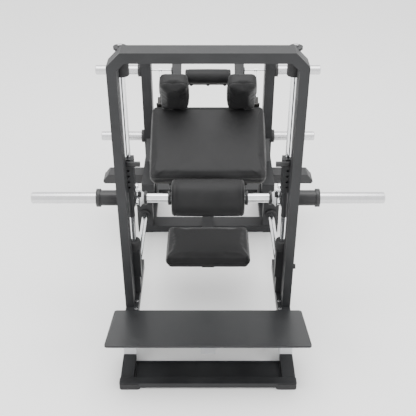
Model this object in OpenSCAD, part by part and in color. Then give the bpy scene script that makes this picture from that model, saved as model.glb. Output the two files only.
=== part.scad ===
// Plate-loaded leg press with a guided roller bar and a reclined bench.
// +X is the right-hand side, +Y runs from the foot plate to the rear beam,
// +Z is up. The origin is on the floor, below the middle of the machine.

/* [Overall] */
// Length from the foot plate's near edge to the back of the rear beam
overall_l = 1580; // [1300:10:1900]
// Width over the two side beams
frame_w = 724; // [700:2:880]
// Height of the portal arch
portal_h = 1320; // [1250:10:1600]
// Length of the weight bar from tip to tip
bar_l = 1512; // [1250:2:1820]

/* [Front frame] */
// Width of the base tubes, risers and side beams
beam_w = 55; // [45:1:66]
// Height of the raised side beams' top face
beam_top = 146; // [122:1:176]
// Height of the section of the raised side beams
beam_h = 50; // [42:1:60]
// Height of the low base tubes' top face
base_top = 33; // [28:1:40]
// Clearance of the low base tubes above the floor
base_gap = 8; // [6:1:10]
// Width of the portal tube's narrow face
portal_t = 36; // [30:1:44]
// Depth of the portal tube
portal_d = 80; // [66:1:96]
// Size of the portal's outer corner chamfer
portal_chamfer = 52; // [43:1:63]

/* [Foot plate] */
// Width of the foot plate
plate_w = 810; // [676:2:972]
// Length of the foot plate along its slope
plate_l = 338; // [282:1:380]
// Thickness of the foot plate
plate_t = 8; // [6:1:10]
// Slope of the foot plate, falling away from its near edge
plate_tilt = 18; // [14:1:21]
// Height of the foot plate's near edge
plate_z = 272; // [260:1:320]

/* [Guide rods and carriage] */
// Diameter of the vertical guide rods
rod_d = 22; // [18:1:26]
// Running clearance of the guide rods in their bearings, on the radius
rod_clear = 0.06; // [0.02:0.01:0.1]
// Diameter of the rubber bumpers
bumper_d = 56; // [47:1:66]
// Height of the bar's axis at rest
bar_z = 590; // [520:1:650]
// Distance of the bar's axis behind the guide rods
bar_back = 88; // [74:1:105]
// Diameter of the chrome bar between the carriages
bar_d = 41; // [35:1:49]
// Diameter of the weight horns
horn_d = 49; // [41:1:50]
// Diameter of the black sleeves that carry the horns
sleeve_d = 67; // [60:1:80]
// Diameter of the roller pad
roller_d = 158; // [132:1:190]
// Length of the roller pad
roller_l = 310; // [260:1:372]

/* [Slide rods] */
// Diameter of the two horizontal slide rods
slide_d = 30; // [25:1:36]
// Height of the slide rods' axes
slide_z = 121; // [112:1:130]

/* [Bench] */
// Recline of the back pad above the horizontal
back_tilt = 31; // [26:1:37]
// Width of the back pad
back_w = 572; // [476:1:690]
// Length of the back pad along its slope
back_l = 414; // [345:1:430]
// Thickness of the back pad
back_t = 62; // [52:1:74]
// Width of the seat pad
seat_w = 392; // [326:1:471]
// Length of the seat pad
seat_l = 262; // [218:1:300]
// Height of the seat pad's top
seat_z = 309; // [285:1:360]
// Thickness of the seat pad
seat_t = 50; // [42:1:60]
// Width of one shoulder pad
shoulder_w = 140; // [117:1:168]
// Height of the shoulder pads above the back pad
shoulder_h = 224; // [187:1:269]
// Diameter of the head roll
head_d = 72; // [60:1:86]
// Height of the rear uprights
upright_top = 900; // [870:1:1080]
// Diameter of the storage pegs
peg_d = 48; // [40:1:50]
// Length of the storage pegs outside the uprights
peg_l = 232; // [193:1:278]

/* [Hidden] */
$fn = 64;
gap = 0.3;                         // air between faces of different bodies
snug = 0.05;                       // air between a part and the hole it is held in

half_w = frame_w / 2;
y_front = -overall_l / 2;
y_rear = overall_l / 2;
foot_h = 30;                       // height of the rubber front feet

// Front base
front_beam_y = y_front + 28;
front_beam_d = 38;
step_d = 102;
base_end = y_front + 196;
riser_end = y_front + 330;
side_end = y_front + 710;
side_start = y_front + 309;

// Foot plate: the lower near edge is the machine's foremost line
plate_y = y_front + plate_t * sin(plate_tilt);
function plate_under(y) =
    plate_z - (y - plate_y) * tan(plate_tilt) - plate_t / cos(plate_tilt);

// Portal and guide rods
portal_y = y_front + 370;
portal_back = portal_y + portal_d;
rod_x = half_w - 42;
rod_y = portal_back + 31;
rod_r = rod_d / 2;
rod_top = portal_h - 26;
post_w = 50;
post_neck_w = 36;
post_neck_top = beam_top + 98;
post_top = post_neck_top + 141;
bumper_r = bumper_d / 2;
bumper_low_h = 45;
bumper_high_h = 60;
bumper_high_z = portal_h - 128;
bracket_t = 10;

// Carriage and bar
bar_y = rod_y + bar_back;
bearing_r = rod_r + rod_clear;
housing_w = 44;
housing_z = bar_z + 110;
housing_top = bar_z + 248;
tail_r = rod_r + 1.8;
hole_plate_w = 38;
hole_plate_t = 4;
web_x = rod_x - 5;
web_w = 27;
sleeve_r = sleeve_d / 2;
sleeve_x = rod_x - 29;
sleeve_end = rod_x + 140;
flange_t = 17;
flange_r = sleeve_r + 6;
horn_r = horn_d / 2;
spigot_r = horn_r - 2;
root_gap = 1;                      // undercut between a flange and its horn or peg
bar_r = bar_d / 2;
collar_x = sleeve_x - 27;
core_r = bar_r + 9;
roller_r = roller_d / 2;
end_collar_w = 12;

// Hook and its pin
hook_t = 14;
hook_x = rod_x - 28;
pin_y = bar_y - sleeve_r - 17;
pin_z = bar_z + 73;
pin_r = 6;
button_r = 11.5;
button_drop = 24;

// Slide rods and bench sockets
slide_x = half_w - beam_w / 2;
slide_r = slide_d / 2;
bench_y = y_rear - 451;
beam_d = 87;
bench_z = 45;
bench_foot = 5;
socket_w = 82;
socket_d = 60;
socket_top = slide_z + 63;
bushing_r = 31;
bushing_out = 10;
slide_end = bench_y + socket_d + 71;
bench_side_w = 80;
bench_side_x = half_w - 77;

// Uprights and side arms
upright_w = 50;
upright_d = 80;
upright_x = half_w - 74;
upright_y = y_rear - 221;
peg_y = upright_y + upright_d / 2;
peg_high = 825;
peg_low = 447;
peg_r = peg_d / 2;
peg_spigot_r = peg_r - 2;
peg_flange_t = 17;
peg_flange_r = peg_r + 10;
arm_w = 62;
arm_x = upright_x - 17;
arm_y = y_rear - 561;
arm_z = 327;
arm_h = 48;

// Back rest: u runs up the slope from the lower edge, n stands off the face
back_y = y_rear - 731;
back_z = 518;
board_t = 12;
rail_w = 48;
rail_h = 50;
rail_x = 139;
rail_top = -back_t - board_t;
rail_end = back_l + 346;
shoulder_x = 91;
shoulder_t = 82;
shoulder_u = back_l - 54;
shoulder_plate_t = 6;
head_u = back_l + 158;
head_l = 228;
stay_x = 242;
stay_r = 3;
stay_n = -18;
stay_sleeve_l = 40;
stay_u = back_l + 4;
shaft_u = back_l + 214;
shaft_r = 4;
cross_y = back_y + 330;
cross_w = 50;
function rail_under(y) =
    back_z + (y - back_y) * tan(back_tilt) - (rail_h - rail_top) / cos(back_tilt);

// Seat
seat_y = y_rear - 1071;
seat_beam_w = 56;
seat_beam_h = 45;
seat_board_t = 9;

// Puts children on the left (-1) or the right (+1) side of the machine
module side(s) {
    mirror([s < 0 ? 1 : 0, 0, 0]) children();
}

// Puts children on both sides
module both() {
    for (s = [-1, 1]) side(s) children();
}

// A box given by its lowest corner and its size
module block(x, y, z, dx, dy, dz) {
    translate([x, y, z]) cube([dx, dy, dz]);
}

// A cylinder along X, from x, round the line at y, z
module rod_along_x(x, y, z, l, r) {
    translate([x, y, z]) rotate([0, 90, 0]) cylinder(h = l, r = r);
}

// A cylinder along Y
module rod_along_y(x, y, z, l, r) {
    translate([x, y, z]) rotate([-90, 0, 0]) cylinder(h = l, r = r);
}

// A profile drawn in y, z and extruded along X from x
module profile_x(x, w) {
    translate([x, 0, 0]) rotate([90, 0, 90]) linear_extrude(w) children();
}

// The back rest's own frame
module on_back() {
    translate([0, back_y, back_z]) rotate([back_tilt, 0, 0]) children();
}

// A flat slab with rounded corners, r, in its own X and Y
module slab(w, l, t, r) {
    linear_extrude(t)
        translate([-w / 2 + r, r])
            offset_square(w - 2 * r, l - 2 * r, r);
}

// A rounded rectangle from a cross of two squares and four circles
module offset_square(w, l, r) {
    translate([0, -r]) square([w, l + 2 * r]);
    translate([-r, 0]) square([w + 2 * r, l]);
    for (x = [0, w], y = [0, l]) translate([x, y]) circle(r);
}

module front_beam() {
    color("#26272a")
        block(-half_w, front_beam_y, base_gap, frame_w, front_beam_d, base_top - base_gap);
}

module base_tubes() {
    y = front_beam_y + front_beam_d;
    color("#26272a") both()
        block(half_w - beam_w, y, base_gap, beam_w, base_end - y, base_top - base_gap);
}

// Rubber shoes round the front corners; the beam stands on their soles
module front_feet() {
    shoe_w = 85;
    lip = 3;
    color("#161617") both() difference() {
        translate([half_w + lip - shoe_w / 2, front_beam_y - lip, 0])
            slab(shoe_w, front_beam_d + 2 * lip, foot_h, 10);
        block(0, front_beam_y - snug, base_gap, half_w + snug, overall_l, foot_h);
    }
}

module step_plate() {
    inner = half_w - beam_w;
    y = front_beam_y + front_beam_d;
    color("#1a1b1d") difference() {
        block(-inner, y, base_gap, 2 * inner, step_d, 14);
        block(-inner + 6, y + 6, base_gap + 8, 2 * inner - 12, step_d - 12, 14);
    }
}

module riser_profile(y0, z0) {
    y1 = y0 + 30;
    polygon([
        [y0, z0], [y0, base_top], [y1, plate_under(y1)],
        [riser_end - 30, plate_under(riser_end - 30)], [riser_end, beam_top],
        [side_start, beam_top], [side_start, beam_top - beam_h], [y1 + 20, z0]
    ]);
}

// Light pieces that carry the foot plate: one on each base tube and a middle leg
module risers() {
    leg_w = 64;
    y0 = y_front + 229;
    y1 = y0 + 40;
    color("#c9cbcd") {
        both() difference() {
            profile_x(half_w - beam_w, beam_w) riser_profile(base_end, base_gap);
            block(0, side_start, 0, overall_l, overall_l, beam_top);
        }
        profile_x(-leg_w / 2, leg_w)
            polygon([[y0, 0], [y0, plate_under(y0)], [y1, plate_under(y1)], [y1, 0]]);
    }
}

module side_beam(s) {
    color("#232427") side(s) difference() {
        block(half_w - beam_w, side_start, beam_top - beam_h, beam_w,
            side_end - side_start, beam_h);
        rod_along_y(slide_x, side_end - 120, slide_z, 200, slide_r + snug);
    }
}

module foot_plate() {
    color("#2a2b2d")
        translate([0, plate_y, plate_z]) rotate([-plate_tilt, 0, 0])
            translate([0, 0, -plate_t]) slab(plate_w, plate_l, plate_t, 14);
}

// One bent tube: two legs, chamfered corners and a top beam
module portal_outline(w, h, c) {
    polygon([
        [-w, 0], [-w, h - c], [-w + c, h], [w - c, h], [w, h - c], [w, 0]
    ]);
}

module portal_arch() {
    inner_c = 30;
    h = portal_h - beam_top;
    color("#2b2c2f") difference() {
        translate([0, portal_back, beam_top]) rotate([90, 0, 0])
            linear_extrude(portal_d) difference() {
                portal_outline(half_w, h, portal_chamfer);
                translate([0, -1]) portal_outline(half_w - portal_t, h - portal_t - 2, inner_c);
            }
        rod_along_x(half_w - 26, portal_y + portal_d / 2, 342, 40, 5 + 0.1);
    }
}

module rod_posts() {
    neck = post_neck_w / 2;
    color("#232427") both() {
        block(rod_x - neck, rod_y - neck, beam_top, 2 * neck, 2 * neck,
            post_neck_top - beam_top);
        block(rod_x - post_w / 2, rod_y - post_w / 2, post_neck_top, post_w, post_w,
            post_top - post_neck_top);
    }
}

// Four rubber rings on the guide rods, at the ends of the carriage's travel
module bumpers() {
    color("#151516") both() translate([rod_x, rod_y, 0])
        for (e = [[post_top, bumper_low_h], [bumper_high_z, bumper_high_h]])
            translate([0, 0, e[0]]) difference() {
                cylinder(h = e[1], r = bumper_r);
                translate([0, 0, -1]) cylinder(h = e[1] + 2, r = rod_r + snug);
            }
}

module guide_rod(s) {
    color("silver") side(s) translate([rod_x, rod_y, post_top])
        cylinder(h = rod_top - post_top, r = rod_r);
}

module rod_brackets() {
    color("#3b3c3f") both() translate([0, 0, rod_top]) {
        linear_extrude(bracket_t) {
            translate([rod_x, rod_y]) circle(post_w / 2);
            translate([rod_x - post_w / 2, portal_back])
                square([post_w / 2 + 14, rod_y - portal_back]);
        }
        translate([0, 0, bumper_high_z + bumper_high_h - rod_top])
            linear_extrude(bracket_t) difference() {
                union() {
                    translate([rod_x, rod_y]) circle(post_w / 2 - 4);
                    translate([rod_x - 21, portal_back])
                        square([42, rod_y - portal_back]);
                }
                translate([rod_x, rod_y]) circle(rod_r + snug);
            }
    }
}

module slide_rod(s) {
    y = side_end - 120 + snug;
    color("silver") side(s) rod_along_y(slide_x, y, slide_z, slide_end - y, slide_r);
}

// Hexagon heads on the rod brackets and at the feet of the portal
module frame_bolts() {
    color("#8d8f92") both() {
        translate([rod_x, rod_y, rod_top + bracket_t]) cylinder(h = 8, r = 9.5, $fn = 6);
        for (y = [portal_y - 16, portal_back - 45])
            translate([half_w - beam_w + 9, y, beam_top])
                cylinder(h = 6, r = 7, $fn = 6);
        for (y = [side_end - 90, side_end - 40])
            translate([slide_x, y, beam_top]) cylinder(h = 6, r = 8, $fn = 6);
    }
}

// Pull knob with its stem in the right leg of the portal
module lock_knob() {
    color("#161617")
        translate([half_w, portal_y + portal_d / 2, 342]) rotate([0, 90, 0]) {
            translate([0, 0, -12]) cylinder(h = 12 + gap, r = 5);
            translate([0, 0, gap]) cylinder(h = 4, r = 8);
            translate([0, 0, gap + 4]) cylinder(h = 9, r = 11);
        }
}

// Bearing housing, drilled plate, web and boss of one side of the bar
module carriage(s) {
    hw = housing_w / 2;
    plate_y0 = rod_y - hw - hole_plate_t;
    color("#1e1f21") side(s) difference() {
        union() {
            block(rod_x - hw, rod_y - hw, housing_z, housing_w, housing_w,
                housing_top - housing_z);
            translate([rod_x, rod_y, bar_z - 34]) cylinder(h = 150, r = tail_r);
            translate([rod_x, rod_y - hw, 0]) rotate([90, 0, 0]) linear_extrude(hole_plate_t) {
                translate([-hole_plate_w / 2, housing_z - 12])
                    square([hole_plate_w, housing_top - housing_z]);
                translate([0, housing_top - 12]) circle(hole_plate_w / 2);
            }
            block(web_x, rod_y + 5, bar_z - 34, web_w, bar_y - rod_y - 5, 130);
            rod_along_x(web_x, bar_y, bar_z, web_w, sleeve_r + 9);
            block(web_x, rod_y + 5, housing_z - 2, web_w, 34, housing_top - housing_z - 20);
        }
        translate([rod_x, rod_y, 0]) cylinder(h = portal_h, r = bearing_r);
        rod_along_x(web_x - 1, bar_y, bar_z, web_w + 2, sleeve_r + snug);
        rod_along_x(web_x - 1, pin_y, pin_z, web_w + 2, pin_r + snug);
        for (z = [housing_z + 14 : 26 : housing_top - 20])
            translate([rod_x, rod_y - hw - hole_plate_t - 1, z]) rotate([-90, 0, 0])
                cylinder(h = hole_plate_t + 6, r = 5.5);
    }
}

// Black pegs across the front of the drilled plates
module carriage_pegs() {
    r = 11;
    y = rod_y - housing_w / 2 - hole_plate_t - r;
    color("#101011") both()
        rod_along_x(rod_x - 51, y, bar_z + 240, 53, r);
}

module cross_bar() {
    color("silver") rod_along_x(-sleeve_x - 10, bar_y, bar_z, 2 * sleeve_x + 20, bar_r);
}

module bar_sleeve(s) {
    l = sleeve_end - sleeve_x;
    color("#131314") side(s) difference() {
        union() {
            rod_along_x(sleeve_x, bar_y, bar_z, l, sleeve_r);
            rod_along_x(sleeve_end, bar_y, bar_z, flange_t, flange_r);
        }
        rod_along_x(sleeve_x - 1, bar_y, bar_z, 12, bar_r + snug);
        rod_along_x(sleeve_x + 20, bar_y, bar_z, l + flange_t, spigot_r + snug);
    }
}

module weight_horn(s) {
    c = 3;
    x0 = sleeve_x + 20 + snug;
    root = sleeve_end + flange_t + root_gap - x0;
    l = bar_l / 2 - x0;
    color("silver") side(s) translate([x0, bar_y, bar_z]) rotate([0, 90, 0])
        rotate_extrude() polygon([
            [0, 0], [spigot_r, 0], [spigot_r, root], [horn_r, root],
            [horn_r, l - c], [horn_r - c, l], [0, l]
        ]);
}

// Light bells that close the inner ends of the sleeves
module bell_collars() {
    l = 18;
    r0 = bar_r + snug;
    color("#9fa2a5") both() translate([sleeve_x - l - snug, bar_y, bar_z])
        rotate([0, 90, 0]) rotate_extrude() difference() {
            translate([r0, 0]) square([sleeve_r - r0 + 4, l]);
            translate([sleeve_r + 8, -2]) circle(l);
        }
}

module bar_collars() {
    color("#131314") both() {
        difference() {
            rod_along_x(collar_x - 3, bar_y, bar_z, 11, sleeve_r - 4);
            rod_along_x(collar_x - 4, bar_y, bar_z, 13, bar_r + snug);
        }
        difference() {
            rod_along_x(roller_l / 2 + 4, bar_y, bar_z, end_collar_w, 31);
            rod_along_x(roller_l / 2 + 3, bar_y, bar_z, end_collar_w + 2, bar_r + snug);
        }
    }
}

module hook_pins() {
    color("silver") both()
        rod_along_x(hook_x - 12, pin_y, pin_z, web_x + web_w / 2 - hook_x + 12, pin_r);
}

// Half of the S: a ring sector of 200 degrees with a round tip
module hook_arc(r, w, from) {
    difference() {
        circle(r + w / 2);
        circle(r - w / 2);
        rotate(from) translate([-2 * r, 0]) square([4 * r, 2 * r]);
    }
    rotate(from) translate([r, 0]) circle(w / 2);
}

// S-shaped plate: hub on the pin, one claw up and back, one down and forward
module hook(s) {
    claw_r = 14;
    claw_w = 12;
    color("#d4d6d8") side(s) difference() {
        profile_x(hook_x, hook_t) translate([pin_y, pin_z]) {
            circle(14);
            translate([2, 8]) hook_arc(claw_r, claw_w, 180);
            translate([1, -24]) hook_arc(claw_r, claw_w, 90);
            translate([-3, -52]) hook_arc(claw_r * 0.8, claw_w, -90);
        }
        rod_along_x(hook_x - 1, pin_y, pin_z, hook_t + 2, pin_r + rod_clear);
    }
}

module hook_button(s) {
    color("#0f0f10") side(s)
        rod_along_x(hook_x - 12, pin_y, pin_z - button_drop, 12 - snug, button_r);
}

module roller_core() {
    l = roller_l + 6;
    color("#77797c") difference() {
        rod_along_x(-l / 2, bar_y, bar_z, l, core_r);
        rod_along_x(-l / 2 - 1, bar_y, bar_z, l + 2, bar_r + rod_clear);
    }
}

module roller_pad() {
    edge = 14;
    l = roller_l - 2 * edge;
    color("#18191a") translate([-l / 2, bar_y, bar_z]) rotate([0, 90, 0])
        rotate_extrude() difference() {
            union() {
                square([roller_r, l]);
                translate([0, -edge]) square([roller_r - edge, l + 2 * edge]);
                for (x = [0, l]) translate([roller_r - edge, x]) circle(edge);
            }
            translate([-1, -edge - 1]) square([core_r + snug + 1, l + 2 * edge + 2]);
            translate([-roller_d, -roller_l]) square([roller_d, 3 * roller_l]);
        }
}

module bench_front_beam() {
    color("#232427") block(-half_w - 13, bench_y, bench_foot, frame_w + 26, beam_d,
        bench_z - bench_foot);
}

module bench_rear_beam() {
    color("#232427") block(-half_w - 13, y_rear - beam_d, bench_foot, frame_w + 26,
        beam_d, bench_z - bench_foot);
}

module bench_sides() {
    y = bench_y + beam_d;
    color("#232427") both()
        block(bench_side_x, y, bench_foot, bench_side_w, y_rear - beam_d - y,
            bench_z - bench_foot);
}

module bench_feet() {
    w = 80;
    color("#161617") both()
        for (y = [bench_y + 3, y_rear - beam_d + 4])
            translate([half_w - w / 2 + 9, y, 0]) slab(w, w, bench_foot, 12);
}

// Upright boxes on the bench's front beam, bored for the bushings
module sockets() {
    color("#1d1e20") both() difference() {
        block(slide_x - socket_w / 2, bench_y, bench_z, socket_w, socket_d,
            socket_top - bench_z);
        rod_along_y(slide_x, bench_y - 1, slide_z, socket_d + 2, bushing_r - 4 + snug);
    }
}

module bushings() {
    color("#0e0e0f") both() difference() {
        union() {
            rod_along_y(slide_x, bench_y - bushing_out, slide_z, bushing_out, bushing_r);
            rod_along_y(slide_x, bench_y - 1, slide_z, socket_d + 1, bushing_r - 4);
        }
        rod_along_y(slide_x, bench_y - bushing_out - 1, slide_z,
            socket_d + bushing_out + 2, slide_r + rod_clear);
    }
}

module upright(s) {
    color("#2b2c2f") side(s) difference() {
        block(upright_x, upright_y, bench_z, upright_w, upright_d, upright_top - bench_z);
        for (z = [peg_low, peg_high])
            rod_along_x(upright_x + 12, peg_y, z, upright_w, peg_spigot_r + snug);
    }
}

module side_arms() {
    color("#303134") both() union() {
        block(arm_x, arm_y, arm_z, arm_w, upright_y - arm_y, arm_h);
        profile_x(arm_x + 17, arm_w - 22) polygon([
            [upright_y, arm_z + arm_h], [upright_y - 110, arm_z + arm_h],
            [upright_y, arm_z + arm_h + 80]
        ]);
    }
}

// Rounded blocks outside the arms, with a raked outer end
module side_grips() {
    l = 204;
    w = 76;
    h = 52;
    rake = 22;
    r = 13;
    color("#1b1c1d") both()
        translate([arm_x + arm_w, arm_y + 93, arm_z - 3]) rotate([90, 0, 0])
            translate([0, 0, -w]) linear_extrude(w) {
                polygon([
                    [0, 0], [l - r, 0], [l, r], [l - rake + 4, h - r],
                    [l - rake - r, h], [0, h]
                ]);
                translate([l - r, r]) circle(r);
                translate([l - rake - r, h - r]) circle(r);
            }
}

module rail(s) {
    color("#3a3b3e") side(s) on_back()
        block(rail_x, 0, rail_top - rail_h, rail_w, rail_end, rail_h);
}

// Cross tubes on the arms and between the uprights, with brackets for the rails
module rail_supports() {
    z_low = arm_z + arm_h;
    y_high = upright_y + 20;
    z_high = peg_low + 60;
    post_d = 40;
    wide = arm_x + 30;
    color("#232427") {
        block(-wide, cross_y, z_low, 2 * wide, cross_w, 44);
        both() profile_x(rail_x + 9, rail_w - 18) polygon([
            [cross_y, z_low + 44], [cross_y, rail_under(cross_y)],
            [cross_y + cross_w, rail_under(cross_y + cross_w)],
            [cross_y + cross_w, z_low + 44]
        ]);
        block(-upright_x, y_high, z_high, 2 * upright_x, post_d, post_d);
        both() profile_x(rail_x + 9, rail_w - 18) polygon([
            [y_high, z_high + post_d], [y_high, rail_under(y_high)],
            [y_high + post_d, rail_under(y_high + post_d)],
            [y_high + post_d, z_high + post_d]
        ]);
    }
}

module back_board() {
    lug = 26;
    color("#1a1b1c") on_back() {
        translate([0, 8, rail_top]) slab(back_w - 24, back_l + 4, board_t, 30);
        both() {
            block(stay_x - lug / 2, back_l - 20, rail_top, lug, 40, board_t);
            block(stay_x - lug / 2, stay_u - 3, rail_top, lug, 8, -rail_top + stay_n + 10);
            rod_along_y(stay_x, stay_u + 2, stay_n, stay_sleeve_l, 8);
        }
    }
}

module back_pad() {
    color("#1c1d1e") on_back()
        translate([0, 0, -back_t + snug]) slab(back_w, back_l, back_t - snug, 34);
}

// Angle plates on the rails for the shoulder pads, and the ears of the thin shafts
module shoulder_plates() {
    u = shoulder_u + shoulder_t;
    ear = 6;
    color("#2a2b2d") both() on_back() {
        block(rail_x, u + snug, rail_top, rail_w, shoulder_plate_t, shoulder_h * 0.8 - rail_top);
        block(rail_x, u + snug, rail_top, rail_w, 60, 8);
        block(rail_x + rail_w - ear, shaft_u - 10, rail_top, ear, 20, stay_n - rail_top + 10);
    }
}

module shoulder_pad(s) {
    r = 26;
    color("#1c1d1e") side(s) on_back()
        translate([shoulder_x + shoulder_w / 2, shoulder_u + shoulder_t, 3])
            rotate([90, 0, 0]) slab(shoulder_w, shoulder_h - 3, shoulder_t, r);
}

module head_roll() {
    edge = 10;
    r = head_d / 2;
    l = head_l - 2 * edge;
    color("#1c1d1e") on_back() translate([-l / 2, head_u, 4]) rotate([0, 90, 0])
        rotate_extrude() difference() {
            union() {
                square([r, l]);
                translate([0, -edge]) square([r - edge, l + 2 * edge]);
                for (x = [0, l]) translate([r - edge, x]) circle(edge);
            }
            translate([-head_d, -head_l]) square([head_d, 3 * head_l]);
        }
}

// A cross strip under the roll on two blocks, with three bolt heads below it
module roll_mount() {
    strip = 30;
    strip_t = 6;
    top = 4 - head_d / 2 - snug;
    color("#2a2b2d") on_back() {
        block(-rail_x - rail_w, head_u - 22, top - strip_t, 2 * (rail_x + rail_w),
            strip + 7, strip_t);
        both() block(rail_x, head_u - strip / 2, rail_top, rail_w, strip,
            top - strip_t - rail_top);
        for (x = [-85, 0, 85])
            translate([x, head_u - 15, top - strip_t - 9]) cylinder(h = 9, r = 8);
    }
}

// Post on the bench's front beam, a beam forward from it and the pad's board
module seat_frame() {
    top = seat_z - seat_t;
    beam_z = top - seat_board_t - seat_beam_h;
    hw = seat_beam_w / 2;
    color("#1f2022") {
        block(-hw, bench_y + 6, bench_z, seat_beam_w, 60, beam_z - bench_z);
        block(-hw, seat_y + 64, beam_z, seat_beam_w, bench_y + 66 - seat_y - 64, seat_beam_h);
        translate([0, seat_y + 12, top - seat_board_t])
            slab(seat_w - 30, seat_l - 24, seat_board_t, 20);
    }
}

module seat_pad() {
    color("#1c1d1e") translate([0, seat_y, seat_z - seat_t + snug])
        slab(seat_w, seat_l, seat_t - snug, 26);
}

module storage_pegs() {
    c = 3;
    x0 = upright_x + 12 + snug;
    root = upright_x + upright_w + peg_flange_t + root_gap - x0;
    l = upright_w - 12 + peg_l;
    color("silver") both() for (z = [peg_low, peg_high])
        translate([x0, peg_y, z]) rotate([0, 90, 0]) rotate_extrude() polygon([
            [0, 0], [peg_spigot_r, 0], [peg_spigot_r, root], [peg_r, root],
            [peg_r, l - c], [peg_r - c, l], [0, l]
        ]);
}

module peg_flanges() {
    x = upright_x + upright_w;
    color("#0f0f10") both() for (z = [peg_low, peg_high]) difference() {
        rod_along_x(x, peg_y, z, peg_flange_t, peg_flange_r);
        rod_along_x(x - 1, peg_y, z, peg_flange_t + 2, peg_spigot_r + snug);
    }
}

// Thin shafts from the uprights to ears on the rails, with a barrel and a stay each
module stay_rods() {
    barrel_r = 8;
    barrel_l = 16;
    u0 = stay_u + 2 + stay_sleeve_l + snug;
    color("#c4c6c8") both() on_back() {
        rod_along_x(rail_x + rail_w, shaft_u, stay_n, upright_x - rail_x - rail_w, shaft_r);
        difference() {
            rod_along_x(stay_x - barrel_l / 2, shaft_u, stay_n, barrel_l, barrel_r);
            rod_along_x(stay_x - barrel_l, shaft_u, stay_n, 2 * barrel_l, shaft_r + snug);
        }
        rod_along_y(stay_x, u0, stay_n, shaft_u - u0 - barrel_r - snug, stay_r);
    }
}

front_beam();
base_tubes();
front_feet();
step_plate();
risers();
side_beam(-1);  // side_beam_left
side_beam(1);  // side_beam_right
foot_plate();
portal_arch();
rod_posts();
bumpers();
guide_rod(-1);  // guide_rod_left
guide_rod(1);  // guide_rod_right
rod_brackets();
slide_rod(-1);  // slide_rod_left
slide_rod(1);  // slide_rod_right
frame_bolts();
lock_knob();
carriage(-1);  // carriage_left
carriage(1);  // carriage_right
carriage_pegs();
cross_bar();
bar_sleeve(-1);  // bar_sleeve_left
bar_sleeve(1);  // bar_sleeve_right
weight_horn(-1);  // weight_horn_left
weight_horn(1);  // weight_horn_right
bell_collars();
bar_collars();
hook_pins();
hook(-1);  // hook_left
hook(1);  // hook_right
hook_button(-1);  // hook_button_left
hook_button(1);  // hook_button_right
roller_core();
roller_pad();
bench_front_beam();
bench_rear_beam();
bench_sides();
bench_feet();
sockets();
bushings();
upright(-1);  // upright_left
upright(1);  // upright_right
side_arms();
side_grips();
rail(-1);  // rail_left
rail(1);  // rail_right
rail_supports();
back_board();
back_pad();
shoulder_plates();
shoulder_pad(-1);  // shoulder_pad_left
shoulder_pad(1);  // shoulder_pad_right
head_roll();
roll_mount();
seat_frame();
seat_pad();
storage_pegs();
peg_flanges();
stay_rods();
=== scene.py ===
import math

import bmesh
import bpy
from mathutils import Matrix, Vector


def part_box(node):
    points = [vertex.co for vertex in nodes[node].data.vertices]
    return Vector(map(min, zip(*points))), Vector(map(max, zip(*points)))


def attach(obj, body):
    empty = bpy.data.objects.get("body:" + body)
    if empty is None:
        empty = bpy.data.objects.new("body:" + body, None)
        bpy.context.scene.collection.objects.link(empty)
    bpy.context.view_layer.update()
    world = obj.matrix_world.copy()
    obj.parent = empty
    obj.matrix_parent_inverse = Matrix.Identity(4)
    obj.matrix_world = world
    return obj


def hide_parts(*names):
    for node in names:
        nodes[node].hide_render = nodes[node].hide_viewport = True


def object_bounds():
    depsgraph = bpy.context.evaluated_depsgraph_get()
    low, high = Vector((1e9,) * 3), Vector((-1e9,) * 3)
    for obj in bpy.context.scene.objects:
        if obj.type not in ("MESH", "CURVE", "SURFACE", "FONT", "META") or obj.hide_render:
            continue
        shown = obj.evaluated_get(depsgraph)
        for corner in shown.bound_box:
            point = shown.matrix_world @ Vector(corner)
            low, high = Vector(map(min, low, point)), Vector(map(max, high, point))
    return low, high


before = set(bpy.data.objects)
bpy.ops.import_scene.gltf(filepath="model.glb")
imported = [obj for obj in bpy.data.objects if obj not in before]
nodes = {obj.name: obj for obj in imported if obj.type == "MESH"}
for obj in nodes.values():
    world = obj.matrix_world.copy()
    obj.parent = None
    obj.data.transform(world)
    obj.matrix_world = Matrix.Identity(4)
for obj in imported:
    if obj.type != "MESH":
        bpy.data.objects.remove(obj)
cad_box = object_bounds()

# The studio: a pale floor, three soft lamps and a camera in front of the
# machine, high up and looking down at it.
camera_data = bpy.data.cameras.new("camera")
camera_data.lens = 61.3
camera_data.sensor_width = 36.0
camera = bpy.data.objects.new("camera", camera_data)
camera_height = 2.25
camera_back = 1.98
camera_pitch = math.radians(33.9)
camera.location = (0.0, cad_box[0][1] - camera_back, camera_height)
camera.rotation_euler = (math.radians(90) - camera_pitch, 0.0, 0.0)
bpy.context.collection.objects.link(camera)
bpy.context.scene.camera = camera

floor_mesh = bpy.data.meshes.new("floor")
floor_form = bmesh.new()
bmesh.ops.create_grid(floor_form, x_segments=2, y_segments=2, size=30.0)
floor_form.to_mesh(floor_mesh)
floor_form.free()
floor = bpy.data.objects.new("floor", floor_mesh)
bpy.context.collection.objects.link(floor)
floor_paint = bpy.data.materials.new("floor_paint")
floor_paint.use_nodes = True
floor_shader = floor_paint.node_tree.nodes["Principled BSDF"]
floor_shader.inputs["Base Color"].default_value = (0.93, 0.93, 0.925, 1.0)
floor_shader.inputs["Roughness"].default_value = 0.7
floor_shader.inputs["Specular IOR Level"].default_value = 0.2
floor_mesh.materials.append(floor_paint)

sky = bpy.data.worlds.new("sky")
sky.use_nodes = True
sky.node_tree.nodes["Background"].inputs["Color"].default_value = (1.0, 1.0, 1.0, 1.0)
sky.node_tree.nodes["Background"].inputs["Strength"].default_value = 1.8
bpy.context.scene.world = sky


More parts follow.
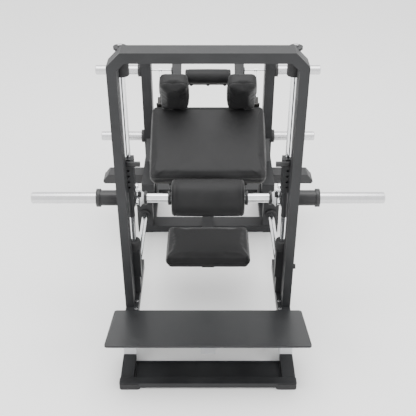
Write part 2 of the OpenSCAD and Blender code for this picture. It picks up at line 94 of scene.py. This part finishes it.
def lamp(name, place, aim, size, watts):
    """A square soft lamp that faces a point."""
    data = bpy.data.lights.new(name, "AREA")
    data.size = size
    data.energy = watts
    light = bpy.data.objects.new(name, data)
    light.location = place
    light.rotation_euler = (Vector(aim) - Vector(place)).to_track_quat("-Z", "Y").to_euler()
    bpy.context.collection.objects.link(light)


lamp("overhead", (0.0, 0.3, 4.2), (0.0, 0.1, 0.0), 3.2, 150)
lamp("left_soft", (-3.6, -1.6, 2.4), (0.0, 0.0, 0.6), 2.2, 60)
lamp("right_soft", (3.6, -1.6, 2.4), (0.0, 0.0, 0.6), 2.2, 60)

# The steps that the finishes share: a blank material, noise on the object's
# own coordinates, and the colour, bumps and gloss that the noise drives.


def blank(name, rough, metal=0.0):
    """A new material with its shader, ready for a pattern."""
    paint = bpy.data.materials.new(name)
    paint.use_nodes = True
    shader = paint.node_tree.nodes["Principled BSDF"]
    shader.inputs["Roughness"].default_value = rough
    shader.inputs["Metallic"].default_value = metal
    return paint, shader


def pattern(paint, scale, detail=3.0, warp=0.0, stretch=(1.0, 1.0, 1.0)):
    """Noise on the object's own coordinates, stretched along its axes."""
    tree = paint.node_tree
    place = tree.nodes.new("ShaderNodeTexCoord")
    turn = tree.nodes.new("ShaderNodeMapping")
    turn.inputs["Scale"].default_value = stretch
    noise = tree.nodes.new("ShaderNodeTexNoise")
    noise.inputs["Scale"].default_value = scale
    noise.inputs["Detail"].default_value = detail
    noise.inputs["Distortion"].default_value = warp
    tree.links.new(place.outputs["Object"], turn.inputs["Vector"])
    tree.links.new(turn.outputs["Vector"], noise.inputs["Vector"])
    return noise.outputs["Fac"]


def tint(paint, shader, signal, dark, light, low=0.35, high=0.65):
    """Runs the base colour between two shades along a signal."""
    tree = paint.node_tree
    ramp = tree.nodes.new("ShaderNodeValToRGB")
    ramp.color_ramp.elements[0].position = low
    ramp.color_ramp.elements[1].position = high
    ramp.color_ramp.elements[0].color = (*dark, 1.0)
    ramp.color_ramp.elements[1].color = (*light, 1.0)
    tree.links.new(signal, ramp.inputs["Fac"])
    tree.links.new(ramp.outputs["Color"], shader.inputs["Base Color"])


def relief(paint, shader, signal, height, strength=1.0):
    """Small bumps from a signal; height is in metres."""
    tree = paint.node_tree
    bump = tree.nodes.new("ShaderNodeBump")
    bump.inputs["Distance"].default_value = height
    bump.inputs["Strength"].default_value = strength
    tree.links.new(signal, bump.inputs["Height"])
    tree.links.new(bump.outputs["Normal"], shader.inputs["Normal"])


def gloss_spread(paint, shader, signal, smooth, rough):
    """Runs the roughness between two values along a signal."""
    tree = paint.node_tree
    span = tree.nodes.new("ShaderNodeMapRange")
    span.inputs["From Min"].default_value = 0.3
    span.inputs["From Max"].default_value = 0.7
    span.inputs["To Min"].default_value = smooth
    span.inputs["To Max"].default_value = rough
    tree.links.new(signal, span.inputs["Value"])
    tree.links.new(span.outputs["Result"], shader.inputs["Roughness"])


def powder_coat(name, dark, light):
    """Textured powder coat: orange peel, faint cloudiness and dull gloss."""
    paint, shader = blank(name, 0.5)
    shader.inputs["Specular IOR Level"].default_value = 0.36
    clouds = pattern(paint, 9.0, detail=4.0)
    peel = pattern(paint, 900.0, detail=2.0)
    tint(paint, shader, clouds, dark, light)
    gloss_spread(paint, shader, clouds, smooth=0.42, rough=0.56)
    relief(paint, shader, peel, height=0.0003, strength=0.5)
    return paint


def dress(paint, names, edge=0.0, steps=2):
    """Gives a finish to CAD nodes, and a radius to their edges."""
    touching = 0.00002
    sharp_angle = math.radians(40)
    for name in names:
        part = nodes[name]
        part.data.materials.clear()
        part.data.materials.append(paint)
        if edge:
            weld = part.modifiers.new("weld", "WELD")
            weld.merge_threshold = touching
            bevel = part.modifiers.new("edge", "BEVEL")
            bevel.width = edge
            bevel.segments = steps
            bevel.limit_method = "ANGLE"
            bevel.angle_limit = sharp_angle
            bevel.harden_normals = True


# The welded frame: steel tube and plate under black textured powder coat. The
# bent and welded edges get a small radius, larger on tube than on thin plate.
black_coat = powder_coat("black_coat", (0.012, 0.0125, 0.0135), (0.019, 0.0195, 0.021))
dress(black_coat, [
    "front_beam", "base_tubes", "side_beam_left", "side_beam_right", "portal_arch",
    "rod_posts", "rod_brackets", "upright_left", "upright_right", "side_arms",
    "rail_left", "rail_right", "rail_supports", "bench_front_beam",
    "bench_rear_beam", "bench_sides", "sockets", "seat_frame", "shoulder_plates",
], 0.0025)
dress(black_coat, ["roll_mount", "carriage_left", "carriage_right", "step_plate"], 0.0012, 1)

# The light pieces: the risers under the foot plate and the bells on the bar,
# in pale grey satin paint.
pale_coat = powder_coat("pale_coat", (0.60, 0.61, 0.63), (0.68, 0.69, 0.70))
dress(pale_coat, ["risers", "bell_collars"], 0.0015)

# The foot plate: rolled steel, brushed from side to side and blackened, so it
# shows fine streaks across its width.
brushed_black, plate_shader = blank("brushed_black", 0.42, 0.25)
streaks = pattern(brushed_black, 26.0, detail=6.0, stretch=(0.6, 30.0, 30.0))
tint(brushed_black, plate_shader, streaks, (0.010, 0.0105, 0.0115), (0.026, 0.027, 0.0285))
gloss_spread(brushed_black, plate_shader, streaks, smooth=0.36, rough=0.52)
relief(brushed_black, plate_shader, streaks, height=0.0002, strength=0.4)
dress(brushed_black, ["foot_plate"], 0.0015)

# Rubber: the shoes and feet, the bumpers on the guide rods, the buttons on the
# hooks and the bushings of the slide rods.
rubber, rubber_shader = blank("rubber", 0.72)
bloom = pattern(rubber, 60.0, detail=4.0)
tint(rubber, rubber_shader, bloom, (0.009, 0.009, 0.010), (0.017, 0.017, 0.018))
grit = pattern(rubber, 500.0)
relief(rubber, rubber_shader, grit, height=0.0002, strength=0.6)
dress(rubber, [
    "front_feet", "bench_feet", "bumpers", "hook_button_left", "hook_button_right",
    "bushings",
], 0.003)

# Moulded nylon: sleeves, collars, flanges, pegs, the knob and the grips.
nylon, nylon_shader = blank("nylon", 0.5)
flow = pattern(nylon, 22.0, detail=4.0, warp=0.4)
tint(nylon, nylon_shader, flow, (0.011, 0.011, 0.012), (0.018, 0.018, 0.019))
gloss_spread(nylon, nylon_shader, flow, smooth=0.38, rough=0.52)
mould_grain = pattern(nylon, 1400.0)
relief(nylon, nylon_shader, mould_grain, height=0.00015, strength=0.5)
dress(nylon, [
    "lock_knob", "carriage_pegs", "bar_sleeve_left", "bar_sleeve_right",
    "bar_collars", "peg_flanges",
], 0.0015)
dress(nylon, ["side_grips"], 0.006, 3)

# Polished chrome on hardened rod, with the faint bands that a carriage leaves.
chrome, chrome_shader = blank("chrome", 0.12, 1.0)
bands = pattern(chrome, 30.0)
tint(chrome, chrome_shader, bands, (0.74, 0.75, 0.77), (0.84, 0.85, 0.86))
gloss_spread(chrome, chrome_shader, bands, smooth=0.09, rough=0.17)
dress(chrome, [
    "guide_rod_left", "guide_rod_right", "slide_rod_left", "slide_rod_right",
    "cross_bar", "stay_rods",
])
dress(chrome, ["hook_left", "hook_right", "hook_pins"], 0.0012)

# Turned steel: the horns and the storage pegs, with fine rings from the lathe,
# and the plated bolts and the roller's tube.
turned, turned_shader = blank("turned", 0.26, 1.0)
rings = pattern(turned, 5.0, detail=4.0, stretch=(90.0, 1.0, 1.0))
tint(turned, turned_shader, rings, (0.61, 0.61, 0.62), (0.67, 0.67, 0.68))
gloss_spread(turned, turned_shader, rings, smooth=0.24, rough=0.30)
relief(turned, turned_shader, rings, height=0.0001, strength=0.4)
dress(turned, ["weight_horn_left", "weight_horn_right", "storage_pegs"])
dress(turned, ["frame_bolts", "roller_core"], 0.001)

# The back board: plywood stained black, with a grain that runs up the board.
stained, stained_shader = blank("stained", 0.6)
grain = pattern(stained, 12.0, detail=5.0, warp=0.6, stretch=(26.0, 1.5, 1.5))
tint(stained, stained_shader, grain, (0.012, 0.011, 0.010), (0.028, 0.026, 0.024))
relief(stained, stained_shader, grain, height=0.0003, strength=0.4)
dress(stained, ["back_board"], 0.0015)

# The cushions: foam under fine-grained synthetic leather, sewn along a seam
# that runs round the rim. Each starts as a shell a little inside its CAD solid
# and is blown up as cloth; its back face stays flat on what carries it.
leather, leather_shader = blank("leather", 0.5)
leather_shader.inputs["Specular IOR Level"].default_value = 0.26
mottle = pattern(leather, 14.0, detail=5.0, warp=0.3)
tint(leather, leather_shader, mottle, (0.0065, 0.0065, 0.007), (0.0115, 0.0115, 0.012))
gloss_spread(leather, leather_shader, mottle, smooth=0.44, rough=0.58)
leather_tree = leather.node_tree
leather_place = leather_tree.nodes.new("ShaderNodeTexCoord")
pebbles = leather_tree.nodes.new("ShaderNodeTexVoronoi")
pebbles.inputs["Scale"].default_value = 620.0
leather_tree.links.new(leather_place.outputs["Object"], pebbles.inputs["Vector"])
relief(leather, leather_shader, pebbles.outputs["Distance"], height=0.0006, strength=0.55)


def broad_normal(node):
    """The unit normal of a CAD node's largest flat face, pointing up."""
    widest = max(nodes[node].data.polygons, key=lambda face: face.area)
    up = widest.normal.copy()
    return up if up.z > 0 else -up


def baked(piece):
    """The mesh that a piece's modifiers give, as plain data."""
    graph = bpy.context.evaluated_depsgraph_get()
    return bpy.data.meshes.new_from_object(piece.evaluated_get(graph))


def show(name, mesh, body, paint):
    """Puts a finished mesh in the scene as a piece that rides on a body."""
    mesh.materials.clear()
    mesh.materials.append(paint)
    for face in mesh.polygons:
        face.use_smooth = True
    piece = bpy.data.objects.new(name, mesh)
    bpy.context.collection.objects.link(piece)
    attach(piece, body)
    return piece


def blow_up(piece, away, most, voxel):
    """Swells a shell as cloth by no more than most, with its back face held."""
    pressure = 4.0
    steps = 20
    remesh = piece.modifiers.new("remesh", "REMESH")
    remesh.mode = "VOXEL"
    remesh.voxel_size = voxel
    start = baked(piece)
    piece.modifiers.clear()
    piece.data = start
    heights = [v.co.dot(away) for v in start.vertices]
    held_level = min(heights) + 1.2 * voxel
    held = piece.vertex_groups.new(name="held")
    back_face = [i for i, height in enumerate(heights) if height < held_level]
    held.add(back_face, 1.0, "REPLACE")
    rest = [v.co.copy() for v in start.vertices]
    cloth = piece.modifiers.new("cloth", "CLOTH")
    cloth.settings.quality = 4
    cloth.settings.mass = 0.3
    cloth.settings.use_pressure = True
    cloth.settings.uniform_pressure_force = pressure
    cloth.settings.vertex_group_mass = "held"
    cloth.settings.effector_weights.gravity = 0.0
    cloth.point_cache.frame_start = 1
    cloth.point_cache.frame_end = steps
    for step in range(1, steps + 1):
        bpy.context.scene.frame_set(step)
    swollen = baked(piece)
    piece.modifiers.clear()
    for i, v in enumerate(swollen.vertices):
        move = v.co - rest[i]
        if move.length > most:
            move *= most / move.length
        v.co = rest[i] + move
    piece.data = swollen
    bpy.context.scene.frame_set(1)


def cushion(name, body, away, swell, seam_depth, voxel=0.006, rim=0.012):
    """One sewn cushion in the place of the CAD node of that name."""
    touching = 0.00002
    flat_angle = 0.02
    sharp_angle = math.radians(60)
    seam_half = 0.0045
    seam_sink = 0.0024
    form = bmesh.new()
    form.from_mesh(nodes[name].data)
    bmesh.ops.remove_doubles(form, verts=form.verts, dist=touching)
    bmesh.ops.dissolve_limit(form, angle_limit=flat_angle, verts=form.verts, edges=form.edges)
    top = max(v.co.dot(away) for v in form.verts)
    sharp = [
        e for e in form.edges
        if len(e.link_faces) == 2 and e.calc_face_angle() > sharp_angle
    ]
    bmesh.ops.bevel(form, geom=sharp, offset=rim, offset_type="OFFSET", segments=4,
                    profile=0.5, affect="EDGES", material=-1)
    middle = sum((v.co for v in form.verts), Vector()) / len(form.verts)
    reach = max((v.co - middle).length for v in form.verts)
    inset = 1 - 0.7 * swell / reach
    for v in form.verts:
        out = v.co - middle
        rise = out.dot(away)
        flat = out - rise * away
        drop = 0.6 * swell if rise > 0 else 0.0
        v.co = middle + flat * inset + (rise - drop) * away
    bmesh.ops.triangulate(form, faces=form.faces)
    mesh = bpy.data.meshes.new(name + "_shell")
    form.to_mesh(mesh)
    form.free()
    shell = bpy.data.objects.new(name + "_shell", mesh)
    bpy.context.collection.objects.link(shell)
    blow_up(shell, away, swell, voxel)
    smooth = shell.modifiers.new("smooth", "SMOOTH")
    smooth.factor = 0.5
    smooth.iterations = 3
    fine = shell.modifiers.new("fine", "SUBSURF")
    fine.levels = 1
    fine.render_levels = 1
    mesh = baked(shell)
    bpy.data.objects.remove(shell)
    seam_level = top - seam_depth
    normals = [v.normal.copy() for v in mesh.vertices]
    for v, normal in zip(mesh.vertices, normals):
        off = abs(v.co.dot(away) - seam_level)
        side = 1.0 - abs(normal.dot(away))
        v.co -= normal * (seam_sink * side * max(0.0, 1.0 - (off / seam_half) ** 2))
    piece = show(name + "_cover", mesh, body, leather)
    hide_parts(name)
    return piece


back_up = broad_normal("back_pad")
up_slope = Vector((0.0, back_up.z, -back_up.y))
cushion("back_pad", "bench", back_up, swell=0.008, seam_depth=0.017)
seat_up = Vector((0.0, 0.0, 1.0))
cushion("seat_pad", "bench", seat_up, swell=0.007, seam_depth=0.015)
for side in ("left", "right"):
    cushion("shoulder_pad_" + side, "bench", -up_slope, swell=0.007, seam_depth=0.022,
            voxel=0.005, rim=0.02)


# The roller pad and the head roll: foam tubes under a leather sleeve, with a
# disc sewn into each end and a seam ring where the two meet.
def roll(name, body, bore, edge, crown):
    """A sewn roll along X in the place of the CAD node of that name."""
    touching = 0.00002
    seam_sink = 0.0022
    low, high = (Vector(corner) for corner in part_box(name))
    centre = (low + high) / 2
    half = (high.x - low.x) / 2
    radius = (high.z - low.z) / 2
    ring = 0.0035
    outline = [(-half, bore), (-half, radius - edge - ring)]
    turns = 8
    for i in range(turns + 1):
        bend = math.pi / 2 * i / turns
        in_from_end = edge - edge * math.cos(bend)
        outline.append((-half + in_from_end, radius - edge + edge * math.sin(bend)))
    outline.append((-half + edge + ring, radius - seam_sink))
    outline.append((-half + edge + 2 * ring, radius))
    end_outline = list(outline)
    spans = 14
    inner = half - edge - 2 * ring
    for i in range(1, spans):
        along = -inner + 2 * inner * i / spans
        outline.append((along, radius + crown * (1 - (along / inner) ** 2)))
    outline += [(-x, r) for x, r in reversed(end_outline)]
    form = bmesh.new()
    line = [form.verts.new((x, 0.0, r)) for x, r in outline]
    edges = [form.edges.new(pair) for pair in zip(line, line[1:])]
    if bore > 0.001:
        edges.append(form.edges.new((line[-1], line[0])))
    bmesh.ops.spin(form, geom=line + edges, cent=(0, 0, 0), axis=(1, 0, 0),
                   angle=2 * math.pi, steps=96, use_merge=True, use_duplicate=False)
    bmesh.ops.remove_doubles(form, verts=form.verts, dist=touching)
    bmesh.ops.recalc_face_normals(form, faces=form.faces)
    bmesh.ops.translate(form, verts=form.verts, vec=centre)
    mesh = bpy.data.meshes.new(name + "_cover")
    form.to_mesh(mesh)
    form.free()
    piece = show(name + "_cover", mesh, body, leather)
    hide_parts(name)
    return piece


core_low, core_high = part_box("roller_core")
core_radius = (core_high[2] - core_low[2]) / 2
glue_line = 0.0002
roll("roller_pad", "roller", bore=core_radius + glue_line, edge=0.014, crown=0.0012)
roll("head_roll", "bench", bore=0.0, edge=0.010, crown=0.0008)
